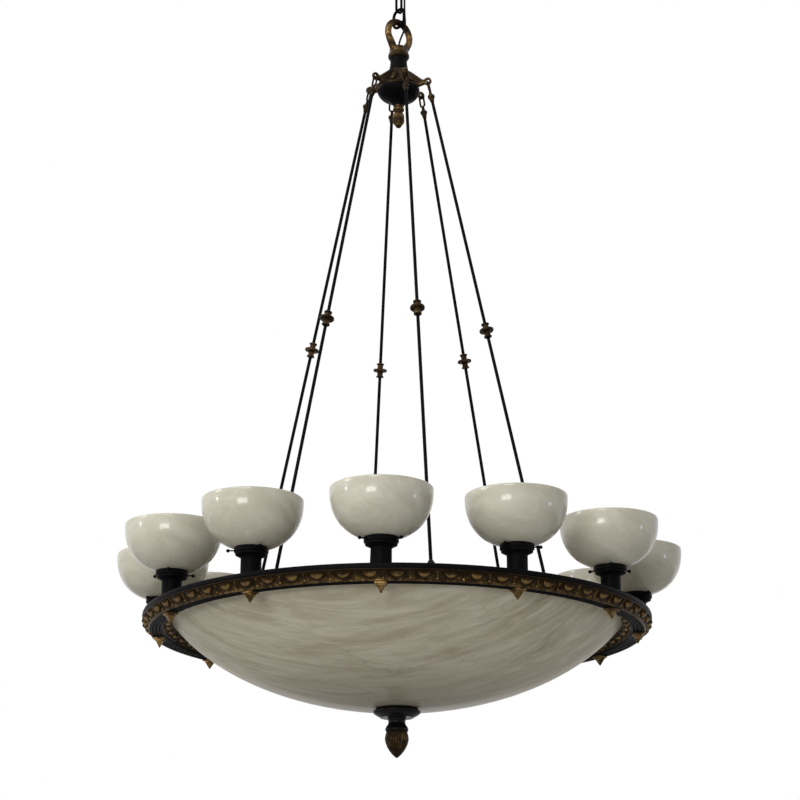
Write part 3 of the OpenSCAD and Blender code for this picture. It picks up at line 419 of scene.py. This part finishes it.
# Suspension rods: six lengths of black pipe in two halves. An oval bronze eye and ferrule hook
# each into the crown, a turned bronze knop joins its halves, and a small cone hides its foot.
rub(dress("rod_eyes", bronze), lambda co: 0.12)
rub(dress("rod_knops", bronze), lambda co: 0.22)
rub(dress("rod_foot_cones", bronze), lambda co: 0.1)
dress("upper_rods", enamel)
dress("lower_rods", enamel)

# Ring: a black top rail and a reeded black underside, with a bronze band down each side whose
# lower edge is worn. A steel channel inside carries the load, and the wiring loom lies in it.
ring_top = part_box("ring_top_rail")[1].z
worn_edge_out, worn_edge_in = ring_top - 0.0405, ring_top - 0.0335
dress("ring_top_rail", enamel)
dress("ring_soffit", enamel)
rub(dress("ring_outer_band", bronze), lambda co: 0.35 if co.z < worn_edge_out else 0.0)
rub(dress("ring_inner_band", bronze), lambda co: 0.30 if co.z < worn_edge_in else 0.0)
paint("ring_channel", steel)
paint("ring_loom", rubber)

# Egg moulding: cast in one with each band. 66 half-oval eggs hang from the rail in grooved
# frames, with a dart and its bead between two, and the eggs' lower bellies are gold, partly
# rubbed and partly a painted highlight.
eggs_round, eggs_turn = 66, radians(2.0)
egg_stands_out = 0.0062
bead_radius, dart_radius, dart_tip = 0.0030, 0.0034, 0.0008
# each frame's half width and depth as parts of the egg's room, its bar's radius and its wear
egg_frames = ((0.345, 0.86, 0.0019, 0.12), (0.425, 0.95, 0.0013, 0.22))


def egg_row(name, foot, head):
    """A row of eggs on a band that rises from foot to head, each given as (radius, height)."""
    foot, head = Vector(foot), Vector(head)
    slope = (head - foot).normalized()
    tall = (head - foot).length
    across = pi * (foot.x + head.x) / eggs_round
    outward = 1.0 if head.x > foot.x else -1.0
    face_out = Vector((slope.y, -slope.x)) * outward
    bm = bmesh.new()
    wear = bm.verts.layers.float.new("rubbed")
    egg = bmesh.ops.create_uvsphere(bm, u_segments=12, v_segments=8, radius=1.0)["verts"]
    bmesh.ops.transform(
        bm, verts=egg,
        matrix=Matrix.Translation((0, tall, 0.0012))
        @ Matrix.Diagonal((across * 0.270, tall * 0.76, egg_stands_out, 1)))
    # the gold band across each egg's lower belly is partly wear and partly a painted highlight
    for v in bm.verts:
        v[wear] = max(0.0, 1.0 - abs(v.co.y / tall - 0.42) * 1.8)
    # the two grooved frames, each a bar bent round half an oval
    for wide, deep, thick, gold in egg_frames:
        before = set(bm.verts)
        bar = bmesh.ops.create_circle(
            bm, segments=5, radius=thick,
            matrix=Matrix.Translation((across * wide, 0, 0))
            @ Matrix.Rotation(pi / 2, 4, "X"))["verts"]
        start = list({e for v in bar for e in v.link_edges})
        spun = bmesh.ops.spin(bm, geom=bar + start, cent=(0, 0, 0), axis=(0, 0, -1),
                              angle=pi, steps=10)
        end = [g for g in spun["geom_last"] if isinstance(g, bmesh.types.BMEdge)]
        bmesh.ops.contextual_create(bm, geom=start)
        bmesh.ops.contextual_create(bm, geom=end)
        bent = [v for v in bm.verts if v not in before]
        bmesh.ops.transform(
            bm, verts=bent,
            matrix=Matrix.Translation((0, tall, 0.0006))
            @ Matrix.Diagonal((1, tall * deep / (across * wide), 1, 1)))
        for v in bent:
            v[wear] = gold
    # what rises past the rail is cut off level
    cut = bmesh.ops.bisect_plane(
        bm, geom=list(bm.verts) + list(bm.edges) + list(bm.faces), dist=1e-7,
        plane_co=(0, tall * 0.99, 0), plane_no=(0, 1, 0), clear_outer=True)
    rims = [g for g in cut["geom_cut"] if isinstance(g, bmesh.types.BMEdge)]
    bmesh.ops.holes_fill(bm, edges=rims)
    dart = bmesh.ops.create_cone(
        bm, cap_ends=True, segments=4, radius1=dart_radius, radius2=dart_tip,
        depth=tall * 0.66,
        matrix=Matrix.Translation((across / 2, tall * 0.62, 0.0008))
        @ Matrix.Rotation(pi / 2, 4, "X"))["verts"]
    bead = bmesh.ops.create_icosphere(
        bm, subdivisions=1, radius=bead_radius,
        matrix=Matrix.Translation((across / 2, tall * 0.17, 0.0018)))["verts"]
    for v in dart:
        v[wear] = 0.35
    for v in bead:
        v[wear] = 1.0
    onto_band = Matrix(((0, slope.x, face_out.x, foot.x), (-outward, 0, 0, 0),
                        (0, slope.y, face_out.y, foot.y), (0, 0, 0, 1)))
    bmesh.ops.transform(bm, verts=bm.verts,
                        matrix=Matrix.Rotation(eggs_turn, 4, "Z") @ onto_band)
    bmesh.ops.recalc_face_normals(bm, faces=bm.faces)
    repeat_round(bm, eggs_round)
    settle(name, bm, bronze, sharp=40)


egg_row("ring_outer_eggs", (0.7417, ring_top - 0.0407), (0.7575, ring_top - 0.0190))
egg_row("ring_inner_eggs", (0.6985, ring_top - 0.0337), (0.6790, ring_top - 0.0225))

# Drops: a cast bronze square plate and pyramid under each lamp, rubbed to gold all over.
# Each screws on the threaded tube that carries its lamp.
rub(dress("drop_finials", bronze, sharp=20), lambda co: 0.52)

# Shade fitters: black spun cups on straight stems, with three ball-headed screws each that
# hold the shade's neck.
dress("shade_fitters", enamel)
dress("shade_thumbscrews", enamel)

# Lamp holders and bulbs: white porcelain holders with frosted bulbs, one in each shade and
# six round the cluster in the bowl.
dress("lamp_sockets", porcelain)


def bulb_look(tone):
    frost = tone.cloud(tone.place(), 90.0)
    return {
        "Base Color": frost.mix((0.86, 0.85, 0.80, 1), (0.78, 0.77, 0.72, 1)),
        "Roughness": 0.30 + frost * 0.12,
    }


bulb_glass = finish("frosted_bulb", {"Coat Weight": 0.3, "Coat Roughness": 0.15}, bulb_look)
dress("lamp_bulbs", bulb_glass)

# Shades: twelve cups turned from ivory alabaster and polished. Soft clouds and a few milky
# wisps run through the stone.


def cup_stone(tone):
    drift = tone.place((1.0, 1.0, 2.4), (radians(20), radians(-24), 0))
    clouds = tone.cloud(drift, 5.0, 6.0, 0.60, 1.2)
    wisps = tone.cloud(drift, 14.0, 7.0, 0.66, 2.0)
    sugar = tone.cloud(tone.place(), 240.0, 3.0)
    ground = clouds.ramp(0.28, 0.74).mix((0.432, 0.411, 0.334, 1), (0.538, 0.523, 0.444, 1))
    milk_white, honey_brown = (0.595, 0.584, 0.514, 1), (0.425, 0.388, 0.300, 1)
    milky = (wisps.ramp(0.50, 0.72) * 0.40).mix(ground, milk_white)
    return {
        "Base Color": (wisps.ramp(0.50, 0.30) * 0.28).mix(milky, honey_brown),
        "Roughness": 0.22 + clouds * 0.10 + sugar * 0.05,
        "Normal": tone.bump(sugar, 0.03, 0.0003),
    }


# light sinks a little way into both beds of the stone
stone_depth = {"Subsurface Weight": 0.12, "Subsurface Radius": (0.02, 0.018, 0.012)}
alabaster_cups = finish("alabaster_cups", {
    "Specular IOR Level": 0.15, "Coat Weight": 0.50, "Coat Roughness": 0.13, **stone_depth},
    cup_stone)
for number in range(1, 13):
    dress(f"shade_{number}", alabaster_cups, sharp=60)

# Bowl: one great dish turned from the same stone, in its own slightly darker material. Its layers
# stand upright and across the room, so fine grey and honey streaks sweep round it, with a few thin
# dark veins.


def bowl_stone(tone):
    sway = tone.cloud(tone.place(), 1.7, 3.0)
    layers = tone.place((1.0, 4.6, 1.8), (radians(9), radians(-6), radians(24)))
    beds = tone.cloud(layers, 1.4, 7.0, 0.60, 1.3)
    streaks = tone.cloud(layers, 4.6, 8.0, 0.68, 1.8)
    across_beds = tone.place((1.0, 3.4, 1.6), (radians(14), radians(8), radians(12)))
    crack = tone.cloud(across_beds, 1.35, 5.0, 0.55, 0.9)
    sugar = tone.cloud(tone.place(), 240.0, 3.0)
    ground = beds.ramp(0.34, 0.66).mix((0.390, 0.350, 0.264, 1), (0.530, 0.498, 0.402, 1))
    milk_white, honey_brown = (0.620, 0.594, 0.510, 1), (0.330, 0.284, 0.196, 1)
    vein_brown, painted_shade_brown = (0.220, 0.190, 0.140, 1), (0.190, 0.166, 0.122, 1)
    milky = (streaks.ramp(0.48, 0.72) * 0.50).mix(ground, milk_white)
    honey = (streaks.ramp(0.54, 0.34) * 0.42).mix(milky, honey_brown)
    vein = 1.0 - (tone.maths("ABSOLUTE", crack - 0.5) * 80.0).ramp(0.0, 1.0)
    veined = (vein * sway.ramp(0.42, 0.60) * 0.40).mix(honey, vein_brown)
    # painted shade: the dish's colour darkens towards its middle, which faces down,
    # and its coat is stronger there, so it is more mirror-like
    from_axis = tone.node("ShaderNodeVectorMath", {"operation": "LENGTH"},
                          {0: tone.place((1, 1, 0))}, "Value")
    middle = from_axis.ramp(0.56, 0.10)
    return {
        # painted shade: the colour is mixed towards a dark brown at the middle
        "Base Color": (middle * 0.72).mix(veined, painted_shade_brown),
        "Coat Weight": 0.02 + middle * 0.16,
        "Roughness": 0.30 + sway * 0.10 + sugar * 0.05,
        "Normal": tone.bump(sugar, 0.03, 0.0003),
    }


alabaster_bowl = finish("alabaster_bowl", {
    "Specular IOR Level": 0.06, "Coat Roughness": 0.03, **stone_depth}, bowl_stone)
dress("bowl", alabaster_bowl, sharp=60)

# Frame inside the bowl: a spider of six black steel arms welded to a boss, which ties the rods'
# feet, the ring and the centre tube. Its bolts, the lamps' threaded tubes, the centre tube with
# its nuts and the lamp cluster are zinc-plated. The bowl sits on felt and between washers.
dress("spider_boss", enamel)
dress("spider_arms", enamel)
for node in ("spider_bolts", "lamp_nipples", "centre_tube", "centre_nuts", "lamp_cluster"):
    dress(node, steel)


def felt_look(tone):
    nap = tone.cloud(tone.place(), 700.0, 4.0)
    return {
        "Base Color": nap.mix((0.030, 0.034, 0.030, 1), (0.070, 0.076, 0.068, 1)),
        "Roughness": 0.85 + nap * 0.10,
        "Normal": tone.bump(nap, 0.3, 0.0006),
    }


dress("bowl_felt", finish("dark_felt", {}, felt_look))
dress("bowl_washers", rubber)

# Bottom collar and neck: black turned pieces, screwed up the centre tube against the bowl.
# Their enamel has kept more of its polish, with faint rings from the lathe.


def polish_look(tone):
    soft = tone.cloud(tone.place(), 30.0)
    rings = tone.cloud(tone.place((1, 1, 40)), 12.0, 3.0)
    return {
        "Base Color": soft.mix((0.0022, 0.0022, 0.0028, 1), (0.0065, 0.0062, 0.0068, 1)),
        "Roughness": 0.18 + soft * 0.12,
        "Normal": tone.bump(rings, 0.10, 0.0005),
    }


polished = finish("polished_enamel", {"Specular IOR Level": 0.10}, polish_look)
dress("bottom_collar", polished)
dress("bottom_neck", polished)

# Bottom acorn: a bronze casting on the centre tube's end that closes the bowl. It is a turned
# nut form with 26 fine flutes sunk down its sides, which fade out at both ends.
acorn_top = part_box("bottom_acorn")[1].z
acorn_r, acorn_h = 0.0355, 0.078
acorn_shoulder = 0.28
flutes, flute_depth, flute_fade = 26, 0.035, 0.010
flutes_low, flutes_high = acorn_top - 0.074, acorn_top - 0.002
acorn_line = [(0, 0), (acorn_r - 0.0035, 0)]
acorn_line += [
    (acorn_r * cos(radians(25 - 25 * t)) - acorn_r * 0.05 * (1 - t), -acorn_h * acorn_shoulder * t)
    for t in (k / 12 for k in range(13))]
acorn_line += [
    (acorn_r * cos(pi / 2 * t) ** 0.85 * (1 - 0.06 * sin(pi * t)),
     -acorn_h * (acorn_shoulder + (1 - acorn_shoulder) * t ** 0.9))
    for t in (k / 14 for k in range(1, 14))]
acorn_line += [(0, -acorn_h)]
bm = bmesh.new()
points = [bm.verts.new((r, 0, acorn_top + z)) for r, z in acorn_line]
line = [bm.edges.new(pair) for pair in zip(points, points[1:])]
bmesh.ops.spin(bm, geom=points + line, cent=(0, 0, 0), axis=(0, 0, 1), angle=2 * pi,
               steps=flutes * 6, use_merge=True)
bmesh.ops.remove_doubles(bm, verts=bm.verts, dist=1e-6)
bmesh.ops.recalc_face_normals(bm, faces=bm.faces)
wear = bm.verts.layers.float.new("rubbed")
for v in bm.verts:
    ridge = abs(sin(atan2(v.co.y, v.co.x) * flutes / 2))
    fade = min(1.0, max(0.0, (v.co.z - flutes_low) / flute_fade),
               max(0.0, (flutes_high - v.co.z) / flute_fade))
    sunk = 1.0 - flute_depth * fade * (1.0 - ridge ** 0.6)
    v.co.x *= sunk
    v.co.y *= sunk
    v[wear] = 0.12 + 0.20 * ridge ** 2 * fade
acorn = settle("bottom_acorn_fluted", bm, bronze, sharp=50)
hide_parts("bottom_acorn")

# Studio floor: plain, pale and matt, well below the chandelier. It throws a little light back
# up at the bowl's underside.
floor_half, floor_level = 14.0, -4.9
floor_mesh = bpy.data.meshes.new("floor")
bm = bmesh.new()
bmesh.ops.create_grid(bm, x_segments=1, y_segments=1, size=floor_half,
                      matrix=Matrix.Translation((0, 0, floor_level)))
bm.to_mesh(floor_mesh)
bm.free()
floor = bpy.data.objects.new("floor", floor_mesh)
scene.collection.objects.link(floor)
floor_mesh.materials.append(finish(
    "floor_paint", {"Base Color": (0.62, 0.62, 0.61, 1), "Roughness": 0.9}, lambda tone: {}))

# Studio surround: a soft, slightly warm white lights the object from all round, and the
# camera, mirrors and glass see plain white instead.
world = bpy.data.worlds.new("surround")
scene.world = world
world.use_nodes = True
world.node_tree.nodes.clear()
sky = Tone(world.node_tree)
to_camera, to_mirror, to_glass = (
    sky.node("ShaderNodeLightPath", {}, {}, ray)
    for ray in ("Is Camera Ray", "Is Glossy Ray", "Is Transmission Ray"))
soft_white = sky.node("ShaderNodeBackground", {},
                      {"Color": (0.91, 0.89, 0.85, 1), "Strength": 0.44})
full_white = sky.node("ShaderNodeBackground", {}, {"Color": (1, 1, 1, 1), "Strength": 1.0})
seen = sky.maths("MAXIMUM", sky.maths("MAXIMUM", to_camera, to_glass), to_mirror)
surround = sky.node("ShaderNodeMixShader", {}, {0: seen, 1: soft_white, 2: full_white})
sky_out = world.node_tree.nodes.new("ShaderNodeOutputWorld")
world.node_tree.links.new(surround.socket, sky_out.inputs["Surface"])

# Studio lamps: three soft ones above the ring and three like windows about its level, all aimed
# at its middle. Their places are as the camera sees the room, with the camera towards -Y.
lamps_aim = Vector((0, 0, -2.2))
warm_white, plain_white, sky_blue = (1.0, 0.99, 0.97), (1.0, 1.0, 1.0), (0.62, 0.82, 1.0)
for name, place, size, watts, colour in (
        ("key", (-3.31, -3.31, 3.0), (2.0, 2.0), 102, warm_white),
        ("side_left", (-6.13, -1.64, 0.76), (1.6, 1.6), 84, warm_white),
        ("front", (-1.6, -5.97, 1.09), (2.2, 1.6), 108, warm_white),
        ("window_front", (-2.21, -6.06, -2.55), (2.2, 1.0), 104, warm_white),
        ("window_left", (-6.26, -1.56, -1.41), (0.35, 0.45), 20, plain_white),
        ("window_right", (6.24, -1.79, -2.80), (0.4, 0.5), 12, sky_blue)):
    data = bpy.data.lights.new(name, "AREA")
    data.shape = "RECTANGLE"
    data.size, data.size_y = size
    data.energy = watts
    data.color = colour
    lamp = bpy.data.objects.new(name, data)
    scene.collection.objects.link(lamp)
    lamp.location = viewer_turn @ Vector(place)
    towards = viewer_turn @ (lamps_aim - Vector(place))
    lamp.rotation_euler = towards.to_track_quat("-Z", "Y").to_euler()

scene.view_settings.view_transform = "Standard"
